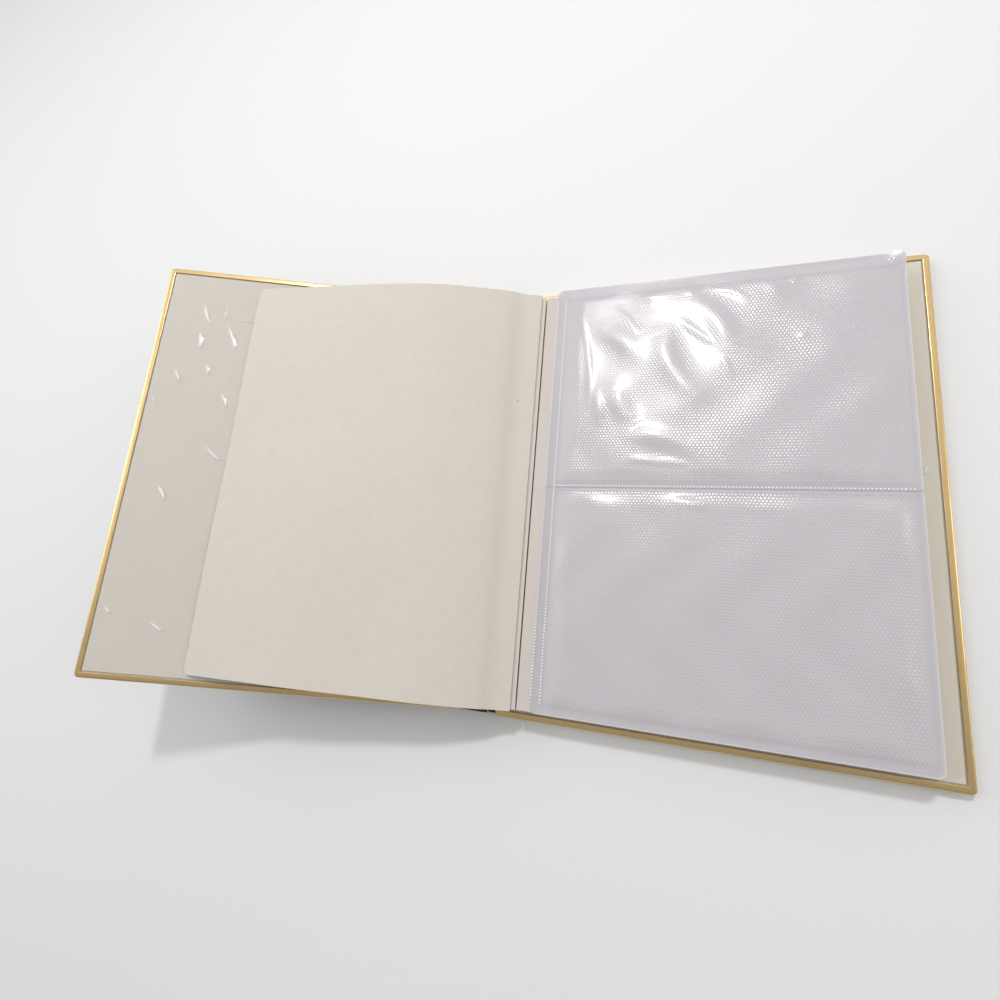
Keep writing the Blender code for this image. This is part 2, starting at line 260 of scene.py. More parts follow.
@dataclass(frozen=True)
class SatinGold(Finish):
    """Gold-tone sheet metal: fine drawn lines, a faint tarnish and handling marks."""

    bright: Colour = (0.86, 0.63, 0.31)
    tarnish: Colour = (0.60, 0.40, 0.17)
    lines_along: float = 60.0
    lines_round: float = 2400.0
    line_depth: float = 0.03 * MM

    def mix(self, recipe: Recipe) -> None:
        """Drawn lines roughen the metal and tarnish darkens it in patches.

        The lines are noise drawn out along the edge: the run attribute is the distance along it and the
        turn attribute the distance round its profile, both in metres.

        Args:
            recipe: the recipe that takes its nodes.
        """
        run, turn = recipe.attribute("run"), recipe.attribute("turn")
        path = {"X": run * self.lines_along, "Y": turn * self.lines_round}
        lines = recipe.noise(scale=1.0, detail=3.0, at=recipe.node("ShaderNodeCombineXYZ", inputs=path))
        marks = recipe.span(recipe.noise(scale=260.0, detail=6.0), low=0.58, high=0.74)
        dull = recipe.span(recipe.noise(scale=38.0, detail=5.0), low=0.45, high=0.75)
        colour = recipe.mix(dull * 0.55 + marks * 0.25, self.bright, self.tarnish)
        recipe.set(Base_Color=colour, Metallic=1.0)
        recipe.set(Roughness=0.22 + lines * 0.14 + dull * 0.10 + marks * 0.08)
        recipe.bump(lines + marks * 0.4, self.line_depth, strength=0.35)


@dataclass(frozen=True)
class Leatherette(Finish):
    """Grained covering: raised pebbles with darker creases, and a slow change of tone."""

    pebble: Colour = (0.120, 0.032, 0.027)
    crease: Colour = (0.040, 0.011, 0.010)
    grain_depth: float = 0.14 * MM

    def mix(self, recipe: Recipe) -> None:
        """Cells give the pebbles, finer cells their wrinkles, and noise the change of tone.

        Args:
            recipe: the recipe that takes its nodes.
        """
        pebbles = recipe.span(recipe.cells(scale=620.0), low=0.0, high=0.22)
        wrinkles = recipe.span(recipe.cells(scale=1700.0), low=0.0, high=0.20)
        tone = recipe.noise(scale=24.0, detail=3.0)
        height = pebbles * 0.75 + wrinkles * 0.25
        base = recipe.mix(height, self.crease, self.pebble)
        recipe.set(Base_Color=recipe.mix(tone * 0.45, base, self.crease))
        recipe.set(Roughness=0.58 - height * 0.14 + tone * 0.08, Specular_IOR_Level=0.45)
        recipe.bump(height, self.grain_depth, strength=0.8)


@dataclass(frozen=True)
class GreyBoard(Finish):
    """Pressed board, with flecks and cut fibres."""

    pale: Colour = (0.50, 0.46, 0.39)
    fleck: Colour = (0.27, 0.24, 0.20)
    layer_depth: float = 0.06 * MM

    def mix(self, recipe: Recipe) -> None:
        """Flecks come from fine noise, and the cut layers from noise drawn out flat.

        Args:
            recipe: the recipe that takes its nodes.
        """
        layers = recipe.noise(scale=1.0, detail=3.0, at=recipe.stretched((300.0, 300.0, 3600.0)))
        flecks = recipe.span(recipe.noise(scale=1500.0, detail=3.0), low=0.56, high=0.70)
        recipe.set(Base_Color=recipe.mix(flecks * 0.7 + layers * 0.2, self.pale, self.fleck))
        recipe.set(Roughness=0.82 + layers * 0.12)
        recipe.bump(layers + flecks * 0.5, self.layer_depth, strength=0.7)


@dataclass(frozen=True)
class Paper(Finish):
    """Smooth paper: felt-side tooth, cloudy formation and a slight yellowing in patches."""

    sheet: Colour = (0.655, 0.603, 0.537)
    cloud: Colour = (0.595, 0.548, 0.490)
    yellowing: Colour = (0.645, 0.580, 0.495)
    tooth: float = 0.04 * MM
    roughness: float = 0.62

    def mix(self, recipe: Recipe) -> None:
        """Slow noise yellows the sheet, finer noise clouds it, and the finest is its tooth.

        Args:
            recipe: the recipe that takes its nodes.
        """
        formation = recipe.noise(scale=210.0, detail=4.0)
        fibre = recipe.noise(scale=1.0, detail=3.0, at=recipe.stretched((1500.0, 2600.0, 1500.0)))
        aged = recipe.span(recipe.noise(scale=17.0, detail=3.0), low=0.42, high=0.70)
        colour = recipe.mix(aged * 0.45, self.sheet, self.yellowing)
        colour = recipe.mix(recipe.span(formation, low=0.40, high=0.72) * 0.30, colour, self.cloud)
        recipe.set(Base_Color=colour)
        recipe.set(Roughness=self.roughness + formation * 0.16, Specular_IOR_Level=0.35)
        recipe.bump(fibre * 0.6 + formation * 0.4, self.tooth, strength=0.5)


@dataclass(frozen=True)
class SpeckedPaper(Paper):
    """The flyleaf's paper, which has one small rusty speck."""

    speck: Colour = (0.16, 0.10, 0.06)
    speck_place: tuple[float, float, float] = (0.0, 0.0, 0.0)
    speck_radius: float = 0.55 * MM

    def mix(self, recipe: Recipe) -> None:
        """Mix the paper, then darken what lies within the speck's radius.

        Args:
            recipe: the recipe that takes its nodes.
        """
        super().mix(recipe)
        colour = Value(recipe, recipe.shader.inputs["Base Color"].links[0].from_socket)
        inputs = {0: recipe.place(), 1: self.speck_place}
        away = recipe.node("ShaderNodeVectorMath", {"operation": "DISTANCE"}, inputs, "Value")
        ragged = away + recipe.noise(scale=3000.0, detail=2.0) * (0.5 * self.speck_radius)
        inside = 1.0 - recipe.span(ragged, low=0.6 * self.speck_radius, high=1.2 * self.speck_radius)
        recipe.set(Base_Color=recipe.mix(inside, colour, self.speck))


@dataclass(frozen=True)
class ClearFilm(Finish):
    """Clear glossy film. Its creases are whitened, partly as the haze of crinkled film and partly as a painted
    highlight, and it scatters a little light everywhere.
    """

    haze: Colour = (0.78, 0.76, 0.73)
    # white of the creases: partly the haze of crinkled film, partly a painted highlight
    white: Colour = (0.99, 0.985, 0.96)
    veil: float = 0.10
    roughness: float = 0.07
    pucker: float = 0.12 * MM

    def mix(self, recipe: Recipe) -> None:
        """The crease attribute whitens the film and makes it less clear: partly the haze of crinkled film, partly
        a painted highlight.

        Args:
            recipe: the recipe that takes its nodes.
        """
        crease = recipe.attribute("crease")
        smear = recipe.noise(scale=70.0, detail=4.0)
        # painted highlight, in part: the creases are mixed towards white and made less clear
        recipe.set(Base_Color=recipe.mix(crease, self.haze, self.white))
        recipe.set(Roughness=self.roughness + smear * 0.09)
        recipe.set(Alpha=self.veil + crease * 0.75)
        recipe.bump(recipe.noise(scale=160.0, detail=3.0), self.pucker, strength=0.35)


@dataclass(frozen=True)
class PocketFilm(Finish):
    """Cool white pocket sheet, embossed inside the pockets with a honeycomb of small raised dots.

    The crease attribute whitens the film as a painted highlight on the sheets' rims and on the weld dots,
    and the line attribute darkens it where a weld is pressed in.
    """

    film: Colour = (0.720, 0.680, 0.715)
    dot: Colour = (0.80, 0.765, 0.80)
    # white of the painted highlights on the sheets' rims and the weld dots
    white: Colour = (0.97, 0.97, 0.98)
    pressed: Colour = (0.30, 0.28, 0.32)
    pitch: float = 1.6 * MM
    dot_share: float = 0.44
    dot_height: float = 0.055 * MM
    veil: float = 0.50
    roughness: float = 0.18

    def honeycomb(self, recipe: Recipe) -> Value:
        """Height of the dots: two square-on lattices, each half a step from the other, make a honeycomb.

        In each lattice the point's offset from its cell's middle gives a distance, and a dot is
        1 - (distance / radius)^2 of the nearer one.

        Args:
            recipe: the recipe that takes its nodes.

        Returns:
            The height, from 0 between the dots to 1 at their tops.
        """
        parts = recipe.node("ShaderNodeSeparateXYZ", inputs={0: recipe.place()})
        across = parts / self.pitch
        along = Value(recipe, parts.socket.node.outputs["Y"]) / (self.pitch * math.sqrt(3.0))
        distances = []
        for shift in (0.0, 0.5):
            step_x = (across + shift).math("FRACT") - 0.5
            step_y = ((along + shift).math("FRACT") - 0.5) * math.sqrt(3.0)
            distances.append(step_x * step_x + step_y * step_y)
        nearer = distances[0].math("MINIMUM", distances[1])
        return (1.0 - nearer / self.dot_share**2).math("MAXIMUM", 0.0)

    def mix(self, recipe: Recipe) -> None:
        """Dots show only where the pocket attribute says so. A smooth coat lies over the embossing.

        Args:
            recipe: the recipe that takes its nodes.
        """
        dots = self.honeycomb(recipe) * recipe.attribute("pocket")
        smear = recipe.noise(scale=48.0, detail=4.0)
        crease = recipe.attribute("crease")
        line = recipe.attribute("line")
        colour = recipe.mix(line, recipe.mix(dots * 0.35, self.film, self.dot), self.pressed)
        # painted highlight: the crease attribute mixes in white on the sheets' rims and the weld dots
        recipe.set(Base_Color=recipe.mix(crease, colour, self.white))
        recipe.set(Roughness=self.roughness + smear * 0.05, IOR=1.6, Specular_IOR_Level=0.75)
        recipe.set(Coat_Weight=0.6, Coat_Roughness=0.09)
        recipe.set(Alpha=self.veil + dots * 0.06 + (crease + line) * 0.4)
        recipe.bump(dots, self.dot_height)


class Finishes(Enum):
    """The album's finishes."""

    GOLD = SatinGold("satin_gold")
    COVERING = Leatherette("grained_covering")
    BOARD = GreyBoard("grey_board")
    LINING = Paper("lining_paper", (0.640, 0.590, 0.525), (0.585, 0.540, 0.485))
    # Painted light: the back lining is the same paper as the front lining, made lighter to stand in for the
    # brighter light that falls on the back cover.
    SHADED_LINING = Paper(
        "unfaded_lining_paper", (0.740, 0.675, 0.565), (0.680, 0.620, 0.520), (0.730, 0.655, 0.540)
    )
    STUB = Paper("stub_paper", (0.62, 0.57, 0.51), (0.57, 0.525, 0.475), (0.615, 0.55, 0.475))
    # Painted shade: the leaves' tabs are the stubs' cream card, darkened to stand in for the shade of the gutter.
    TAB = Paper("tab_paper", (0.60, 0.545, 0.505), (0.55, 0.50, 0.465), (0.60, 0.53, 0.47))
    CARD = Paper(
        "smooth_card", (0.76, 0.745, 0.765), (0.70, 0.69, 0.72), (0.75, 0.725, 0.725), 0.02 * MM, 0.48
    )
    LINING_FILM = ClearFilm("wrinkled_film")
    POCKET_FILM = PocketFilm("pocket_film")
    WELD = PocketFilm("welded_film", film=(0.82, 0.79, 0.83), veil=0.95)

    @property
    def material(self) -> bpy.types.Material:
        """The finish's material."""
        return self.value.material()


# Meshes

def in_scene(name: str, data: bpy.types.ID) -> bpy.types.Object:
    """Put a new object into the scene.

    Args:
        name: its name.
        data: its mesh, lamp or camera.

    Returns:
        The object.
    """
    obj = bpy.data.objects.new(name, data)
    bpy.context.scene.collection.objects.link(obj)
    return obj


def quads(rows: int, cols: int) -> Array:
    """Join each point of a grid to the next in its row and to those two in the row above.

    Args:
        rows: the grid's rows.
        cols: the points in a row.

    Returns:
        The numbers of each quad's corners.
    """
    number = np.arange(rows * cols).reshape(rows, cols)
    corners = [number[:-1, :-1], number[:-1, 1:], number[1:, 1:], number[1:, :-1]]
    return np.stack(corners, axis=-1).reshape(-1, 4)


def grid(x: Array | float, y: Array | float, z: Array | float) -> Array:
    """Points from coordinates that are spread over one grid, with the axis last."""
    return np.stack(np.broadcast_arrays(x, y, z), axis=-1)


@dataclass(frozen=True)
class Shell:
    """A closed skin: points, and the quads between them."""

    points: Array
    faces: Array

    @classmethod
    def between(cls, outer: Array, inner: Array) -> "Shell":
        """Join two grids of points into one closed skin.

        The outer grid's quads, the inner grid's quads turned round, and a wall along the grids' rims.

        Args:
            outer: points by row, column and axis.
            inner: the same number of points, on the other face.

        Returns:
            The closed skin.
        """
        rows, cols = outer.shape[:2]
        count = rows * cols
        number = np.arange(count).reshape(rows, cols)
        sides = [number[0, :-1], number[:-1, -1], number[-1, :0:-1], number[:0:-1, 0]]
        rim = np.concatenate(sides)
        after = np.roll(rim, -1)
        wall = np.stack([rim, rim + count, after + count, after], axis=-1)
        face = quads(rows, cols)
        points = np.concatenate([outer.reshape(-1, 3), inner.reshape(-1, 3)])
        return cls(points, np.concatenate([face, face[:, ::-1] + count, wall]))

    @classmethod
    def joined(cls, shells: list["Shell"]) -> "Shell":
        """Put several skins into one, each with its own points.

        Args:
            shells: the skins.

        Returns:
            All of them as one.
        """
        starts = np.cumsum([0] + [len(shell.points) for shell in shells[:-1]])
        faces = [shell.faces + start for shell, start in zip(shells, starts)]
        return cls(np.concatenate([shell.points for shell in shells]), np.concatenate(faces))

    def outward(self) -> Array:
        """Turn the faces round if the volume that they enclose comes out negative.

        Returns:
            The faces, pointing out.
        """
        first, second, third, fourth = (self.points[self.faces[:, i]] for i in range(4))
        halves = np.cross(second, third) + np.cross(third, fourth)
        return self.faces if np.sum(first * halves) > 0 else self.faces[:, ::-1]


@dataclass
class Piece:
    """A finished piece of the album.

    An attribute has a number for each point of the skin, or of one face of it where both are alike.
    """

    name: str
    shell: Shell
    finish: bpy.types.Material
    slot: str
    attributes: dict[str, Array] = field(default_factory=dict)
    crisp: float = math.radians(40)

    def make(self) -> bpy.types.Object:
        """Put the skin into a mesh object.

        Returns:
            The object, at the origin, with its place in its mesh.
        """
        faces = np.ascontiguousarray(self.shell.outward())
        mesh = bpy.data.meshes.new(self.name)
        mesh.vertices.add(len(self.shell.points))
        mesh.vertices.foreach_set("co", self.shell.points.astype(np.float32).ravel())
        mesh.loops.add(faces.size)
        mesh.loops.foreach_set("vertex_index", faces.astype(np.int32).ravel())
        mesh.polygons.add(len(faces))
        mesh.polygons.foreach_set("loop_start", np.arange(0, faces.size, 4, dtype=np.int32))
        mesh.update(calc_edges=True)
        mesh.validate()
        for key, values in self.attributes.items():
            whole = np.tile(values.ravel(), len(self.shell.points) // values.size)
            made = mesh.attributes.new(key, "FLOAT", "POINT")
            made.data.foreach_set("value", whole.astype(np.float32))
        mesh.shade_smooth()
        mesh.set_sharp_from_angle(angle=self.crisp)
        mesh.materials.append(self.finish)
        obj = in_scene(self.name, mesh)
        log.info("%s: %d faces", self.name, len(faces))
        return obj

    def ride(self, body: str, *nodes: str) -> bpy.types.Object:
        """Make the piece, set it on a body and let it stand for nodes of the frame.

        Args:
            body: the body that carries it.
            nodes: the nodes that it stands for.

        Returns:
            The object.
        """
        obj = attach(self.make(), body)
        if nodes:
            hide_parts(*nodes)
        return obj


@dataclass(frozen=True)
class Lie:
    """How a flat part lies: out from a hinge line to one side, and up by an angle."""

    x: float
    z: float
    rise: float = 0.0
    side: int = 1

    @classmethod
    def at(cls, joint: str, rise: float = 0.0, side: int = 1) -> "Lie":
        """How a part lies that turns on a joint of the frame."""
        found = next(one for one in frame["joints"] if one["name"] == joint)
        return cls(found["pos_m"][0], found["pos_m"][2], rise, side)

    def points(self, out: Array | float, along: Array | float, up: Array | float) -> Array:
        """World points of places on the part.

        Args:
            out: distance out from the hinge.
            along: distance along the album, towards the head.
            up: height from the hinge, square to the part.

        Returns:
            The points, with the axis last.
        """
        cos, sin = math.cos(self.rise), math.sin(self.rise)
        x = self.x + self.side * (out * cos - up * sin)
        z = self.z + out * sin + up * cos
        return grid(x, along, z)

    def normal(self) -> Vector:
        """The way up from the part."""
        return Vector((-self.side * math.sin(self.rise), 0.0, math.cos(self.rise)))


def leftover_angle(whole: float, *joints: str) -> float:
    """The angle that coupled joints leave of a whole turn, in radians.

    Args:
        whole: the whole turn.
        joints: the joints that follow the spine's quarter turn, one on the other.

    Returns:
        What their shares of the quarter turn leave.
    """
    couplings = frame["record"]["behaviour"]["couplings"]
    ratios = [one["ratio"] for one in couplings if one["joint"] in joints]
    return whole - sum(ratios) * math.pi / 2


def ease(values: Array) -> Array:
    """0 below 0, 1 above 1 and a smooth rise 3t^2 - 2t^3 between."""
    share = np.clip(values, 0.0, 1.0)
    return share * share * (3.0 - 2.0 * share)


def through(knots: tuple[tuple[float, float], ...], at: Array) -> Array:
    """A smooth curve through knots: cubic arcs whose slopes are the mean of the chords at each knot.

    Args:
        knots: places and heights, in order.
        at: the places where the height is wanted.

    Returns:
        The heights.
    """
    place, height = np.array(knots).T
    slope = np.gradient(height, place)
    index = np.clip(np.searchsorted(place, at) - 1, 0, len(place) - 2)
    width = place[index + 1] - place[index]
    t = (at - place[index]) / width
    start = height[index] * (1 + 2 * t) + slope[index] * width * t
    end = height[index + 1] * (3 - 2 * t) + slope[index + 1] * width * (t - 1)
    return start * (1 - t) ** 2 + end * t**2


def travelled(x: Array, y: Array) -> Array:
    """Distance along a line of points from its first point: the sum of the steps so far."""
    return np.cumsum(np.hypot(np.diff(x, prepend=x[0]), np.diff(y, prepend=y[0])))


@dataclass(frozen=True)
class Crease:
    """A soft ridge in a film: from one place to another, bowed to one side, lower at its ends.

    Lengths are in millimetres.
    """

    start: tuple[float, float]
    end: tuple[float, float]
    height: float
    width: float
    bow: float = 0.0
    end_share: float = 0.4

    def lift(self, out: Array, along: Array) -> Array:
        """Its height over a film.

        height * taper * exp(-(d / width)^2), where d is the distance to the bowed line or to its nearer
        end, and the taper is a parabola from the end share at the ends to 1 in the middle.

        Args:
            out: distance out from the hinge, in millimetres.
            along: distance along the album, in millimetres.

        Returns:
            The lift in millimetres.
        """
        step = np.subtract(self.end, self.start)
        length = np.hypot(*step)
        ahead = step / length
        near_out, near_along = out - self.start[0], along - self.start[1]
        run = near_out * ahead[0] + near_along * ahead[1]
        inside = np.clip(run, 0.0, length)
        share = inside / length
        arch = 4 * share * (1 - share)
        off = near_along * ahead[0] - near_out * ahead[1] - self.bow * arch
        taper = self.end_share + (1.0 - self.end_share) * arch
        return self.height * taper * np.exp(-(off**2 + (run - inside) ** 2) / self.width**2)


def creased(creases: tuple[Crease, ...], out: Array, along: Array) -> Array:
    """The highest of several creases over a film, in metres from places in metres."""
    lifts = [crease.lift(out / MM, along / MM) for crease in creases]
    return np.max(lifts, axis=0) * MM


def two_stretches(near: float, middle: float, far: float, counts: tuple[int, int]) -> Array:
    """Places along a grid, spaced evenly in each of two stretches.

    Args:
        near: where the first stretch starts.
        middle: where the second one takes over.
        far: where that ends.
        counts: the places in each stretch, with the middle in both.

    Returns:
        All the places, in order.
    """
    first, second = counts
    return np.concatenate([np.linspace(near, middle, first)[:-1], np.linspace(middle, far, second)])


def inset(places: Array, low: Array | float, high: Array | float) -> Array:
    """Distance in from the nearer of two ends."""
    return np.minimum(places - low, high - places)


def finer(places: Array, lines: tuple[float, ...], half: float) -> Array:
    """Add three places at each line: on it, and half its width to either side.

    Args:
        places: the places along a grid.
        lines: where the lines are.
        half: half a line's width.

    Returns:
        All the places, in order.
    """
    more = [line + side * half for line in lines for side in (-1.0, 0.0, 1.0)]
    return np.unique(np.concatenate([places, more]))


def rounded_rows(
    low: float, high: float, radius: float, places: Array, arc_rows: int = 6
) -> tuple[Array, Array]:
    """Rows across a sheet with rounded corners, and how far each row's ends are drawn in.

    A row at distance d from the sheet's head or tail is drawn in by r - sqrt(r^2 - (r - d)^2).

    Args:
        low: the tail.
        high: the head.
        radius: the corners' radius.
        places: the rows' places away from the corners.
        arc_rows: the rows in each corner.

    Returns:
        The rows' places, and their draws.
    """
    arc = radius * (1.0 - np.cos(np.linspace(0.0, math.pi / 2, arc_rows)))
    middle = places[(places > low + radius) & (places < high - radius)]
    rows = np.concatenate([low + arc, middle, high - arc[::-1]])
    left = np.clip(radius - inset(rows, low, high), 0.0, radius)
    return rows, radius - np.sqrt(radius**2 - left**2)


# Covers

@dataclass
class Cover:
    """One cover's metal edge, lining film and outer covering, lying out from its hinge.

    The frame's boxes are square to the back cover, so both covers take their sizes from that one.
    """

    side: str
    lie: Lie
    gauge: float = 0.5 * MM
    face: float = 3.0 * MM
    edge_round: float = 0.9 * MM
    lip_round: float = 0.25 * MM
    corner: float = 2.5 * MM
    mitre: float = 0.15 * MM
    padding: float = 0.45 * MM
    press: float = 0.55 * MM
    pad_rise: float = 3.0 * MM
    spine_pad_rise: float = 2.0 * MM
    press_share: float = 0.45
    covering_cols: tuple[int, int] = (44, 60)
    covering_rows: int = 90
    streaks: tuple[Crease, ...] = ()
    swell: float = 0.10 * MM
    swell_lengths: tuple[tuple[float, float], ...] = ((9 * MM, 31 * MM), (13 * MM, 22 * MM))
    held_rim: float = 6.0 * MM
    whitened: float = 0.30 * MM
    white_from: float = 0.30
    creased_reach: float = 60.0 * MM
    film_cols: tuple[int, int] = (46, 112)
    film_rows: int = 236

    def __post_init__(self) -> None:
        """Take the cover's sizes from the frame."""
        low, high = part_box("back_edge_frame")
        board_low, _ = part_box("back_board")
        self.back = Lie.at("spine_fold")
        self.start = low.x - self.back.x
        self.width = high.x - self.back.x
        self.half = high.y
        self.thickness = high.z - low.z
        self.base = low.z - self.back.z
        self.groove = board_low.x - self.back.x

    def rim(self, inward: Array, stations: int = 70, turns: int = 9) -> tuple[Array, Array]:
        """The edge's path, drawn in from the cover's outline: tail, fore-edge and head.

        A corner's radius shrinks by as much as the path is drawn in, down to a small mitre.

        Args:
            inward: distance in from the outline, for each point of the profile.
            stations: places along each straight side.
            turns: places round each corner.

        Returns:
            Distances out and along, by station and profile point.
        """
        radius = np.maximum(self.corner - inward, self.mitre)
        far, top = self.width - inward - radius, self.half - inward - radius
        run = np.linspace(0.0, 1.0, stations)[:, None]
        angle = np.linspace(-math.pi / 2, 0.0, turns)[1:-1, None]
        flat = np.zeros_like(run)
        out = [
            self.start + (far - self.start) * run,
            far + radius * np.cos(angle),
            self.width - inward + flat,
            far + radius * np.cos(angle[::-1]),
            far + (self.start - far) * run,
        ]
        along = [
            inward - self.half + flat,
            -top + radius * np.sin(angle),
            top * (2.0 * run - 1.0),
            top - radius * np.sin(angle[::-1]),
            self.half - inward + flat,
        ]
        return np.concatenate(out), np.concatenate(along)

    def channel(self, steps: int = 4, turns: int = 7) -> tuple[Array, Array]:
        """The metal edge's profile: a channel that grips the board, with a rolled outer side.

        Straight flanges and wall with quarter arcs between them, and a small arc at the lip. The inner
        line is the outer one moved in by the metal's gauge.

        Args:
            steps: places along each straight stretch.
            turns: places round each arc.

        Returns:
            The outer and the inner line, as distances in and up.
        """
        tall, bend, lip = self.thickness, self.edge_round, self.lip_round
        run = np.linspace(0.0, 1.0, steps)
        quarter = np.linspace(0.0, math.pi / 2, turns)
        cos, sin = np.cos(quarter), np.sin(quarter)
        flange = self.face - lip
        lines = []
        for depth, drop in ((0.0, lip), (self.gauge, 0.0)):
            arc = bend - depth
            stretches = [
                (self.face + (bend - self.face) * run, depth + 0 * run),
                (bend - arc * sin, bend - arc * cos),
                (depth + 0 * run, bend + (tall - 2 * bend) * run),
                (bend - arc * cos, tall - bend + arc * sin),
                (bend + (flange - bend) * run, tall - depth + 0 * run),
                (flange + lip * sin, tall - depth - drop + drop * cos),
            ]
            lines.append(np.concatenate([np.stack(stretch, -1) for stretch in stretches]))
        return lines[0], lines[1]

    def metal_edge(self) -> None:
        """Carry the channel round three sides of the cover.

        Where two stretches of the profile meet, their shared point is kept once.
        """
        lines = self.channel()
        steps = [np.abs(np.diff(line, axis=0)).max(axis=1) for line in lines]
        keep = np.r_[True, np.minimum(*steps) > 1e-7]
        skins, runs, turns = [], [], []
        for line in lines:
            inward, up = line[keep].T
            out, along = self.rim(inward)
            skins.append(self.lie.points(out, along, self.base + up))
            middle = out.shape[1] // 2
            run = travelled(out[:, middle], along[:, middle])
            runs.append(np.broadcast_to(run[:, None], out.shape))
            turns.append(np.broadcast_to(travelled(inward, up), out.shape))
        marks = {"run": np.stack(runs), "turn": np.stack(turns)}
        name = f"{self.side}_metal_edge"
        piece = Piece(name, Shell.between(*skins), Finishes.GOLD.material, "gold_edge", marks)
        piece.ride(f"{self.side}_cover", f"{self.side}_edge_frame")

    def lining_film(self) -> None:
        """Clear film over the lining, with slow swells and sharp whitened creases.

        Its height is two crossed waves that die out at the edges, plus the creases. The grid is finer
        towards the fore-edge, where the creases are, and their upper parts are whitened: partly the haze
        of crinkled film, partly a painted highlight.
        """
        low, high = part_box("back_lining_film")
        near, far = low.x - self.back.x, high.x - self.back.x
        out = two_stretches(near, far - self.creased_reach, far, self.film_cols)[None, :]
        along = np.linspace(low.y, high.y, self.film_rows)[:, None]
        free = ease(np.minimum(inset(out, near, far), inset(along, low.y, high.y)) / self.held_rim)
        (out_length, out_slant), (along_length, along_slant) = self.swell_lengths
        waves = np.sin(out / out_length + along / out_slant)
        waves = waves * np.sin(along / along_length - out / along_slant)
        ridges = creased(self.streaks, out, along)
        lift = free * (self.swell * (1.0 + waves) * 0.5 + ridges)
        top, thick = high.z - self.back.z, high.z - low.z
        skins = [self.lie.points(out, along, height + lift) for height in (top, top - thick)]
        # painted highlight, in part: the creases' upper parts are whitened, partly as the haze of crinkled film
        crest = ease(ridges / self.whitened - self.white_from) * free
        name, shell = f"{self.side}_wrinkled_film", Shell.between(*skins)
        piece = Piece(name, shell, Finishes.LINING_FILM.material, "lining_film", {"crease": crest})
        piece.ride(f"{self.side}_cover", f"{self.side}_lining_film")

    def covering(self, spine_half: float, bodies: tuple[str, str], *nodes: str) -> None:
        """Grained covering from the middle of the spine to the fore-edge, pressed in along the hinge.

        Its outer face stands off the board by a padding that eases to nothing under the metal edge, and
        is pressed in by a bell-shaped groove over the hinge.

        Args:
            spine_half: distance from the hinge to the middle of the spine.
            bodies: the bodies before and after the hinge.
            nodes: the nodes that it stands for.
        """
        low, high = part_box("back_covering")
        bottom, top = low.z - self.back.z, high.z - self.back.z
        far = high.x - self.back.x
        out = two_stretches(-spine_half, 2 * self.groove, far, self.covering_cols)[None, :]
        along = np.linspace(low.y, high.y, self.covering_rows)[:, None]
        ends = inset(along, low.y, high.y)
        rim = np.minimum(far - out, np.where(out > self.start, ends, far))
        gripped = self.face - self.gauge
        cover_pad = self.padding * ease((rim - gripped) / self.pad_rise) * ease(out / self.groove)
        spine_pad = self.padding * ease(ends / self.spine_pad_rise) * ease(-out / self.groove)
        on_spine = out < 0
        pad = np.where(on_spine, spine_pad, cover_pad)
        press = self.press * np.exp(-((out / (self.press_share * self.groove)) ** 2))
        flat = Lie(self.lie.x, self.lie.z, 0.0, self.lie.side)
        skins = []
        for height in (top + press, bottom + press - pad):
            turned = self.lie.points(out, along, height)
            level = flat.points(out, along, height)
            skins.append(np.where(on_spine[..., None], level, turned))
        name = f"{self.side}_grained_covering"
        obj = Piece(name, Shell.between(*skins), Finishes.COVERING.material, "covering").make()
        bend = [self.lie.points(self.groove, 0.0, 0.0), flat.points(-self.groove, 0.0, 0.0)]
        start, end = bend if bodies[0].endswith("cover") else bend[::-1]
        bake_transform(obj, *bodies, start=tuple(start), end=tuple(end))
        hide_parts(*nodes)


# Binding and flyleaf

@dataclass
class Binding:
    """The leaves' gathered stubs on the back cover, with a paper strip over them."""

    layers: int = 13
    stagger: float = 0.30 * MM
    stagger_turns: tuple[float, float] = (2.4, 1.7)
    seam: float = 0.06 * MM
    shadow_gap: float = 0.35 * MM
    strip_wave: float = 0.08 * MM
    wave_length: float = 17.0 * MM
    slab_cols: int = 6
    slab_rows: int = 60

    def slab(self, low: Vector, high: Vector, wave: float) -> Shell:
        """A paper slab whose faces wave slightly along its length.

        Args:
            low: its lowest corner.
            high: its highest corner.
            wave: the height of the waves, as sin of the length.

        Returns:
            The closed skin.
        """
        x = np.linspace(low.x, high.x, self.slab_cols)[None, :]
        y = np.linspace(low.y, high.y, self.slab_rows)[:, None]
        sway = wave * np.sin(y / self.wave_length) * np.sin((x - low.x) / (high.x - low.x) * math.pi)
        return Shell.between(*(grid(x, y, z + sway) for z in (high.z, low.z)))

    def build(self) -> None:
        """Stack the stubs, each staggered a little, and lay the strip on them."""
        low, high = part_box("binding_block")
        rise = (high.z - low.z) / self.layers
        draw_turn, trim_turn = self.stagger_turns
        stubs = []
        for layer in range(self.layers):
            draw = self.stagger * (1.0 + math.sin(draw_turn * layer)) / 2
            trim = self.stagger * (1.0 + math.cos(trim_turn * layer))
            floor = low.z + layer * rise
            stub_low = Vector((low.x + draw, low.y + trim, floor))
            stub_high = Vector((high.x - self.shadow_gap - draw, high.y - trim, floor + rise - self.seam))
            stubs.append(self.slab(stub_low, stub_high, 0.0))
        paper = Finishes.STUB.material
        piece = Piece("gathered_stubs", Shell.joined(stubs), paper, "cream_paper")
        piece.ride("back_cover", "binding_block")
        low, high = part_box("binding_strip")
        strip = self.slab(low, high - Vector((self.shadow_gap, 0.0, 0.0)), self.strip_wave)
        Piece("binding_paper_strip", strip, paper, "cream_paper").ride("back_cover", "binding_strip")


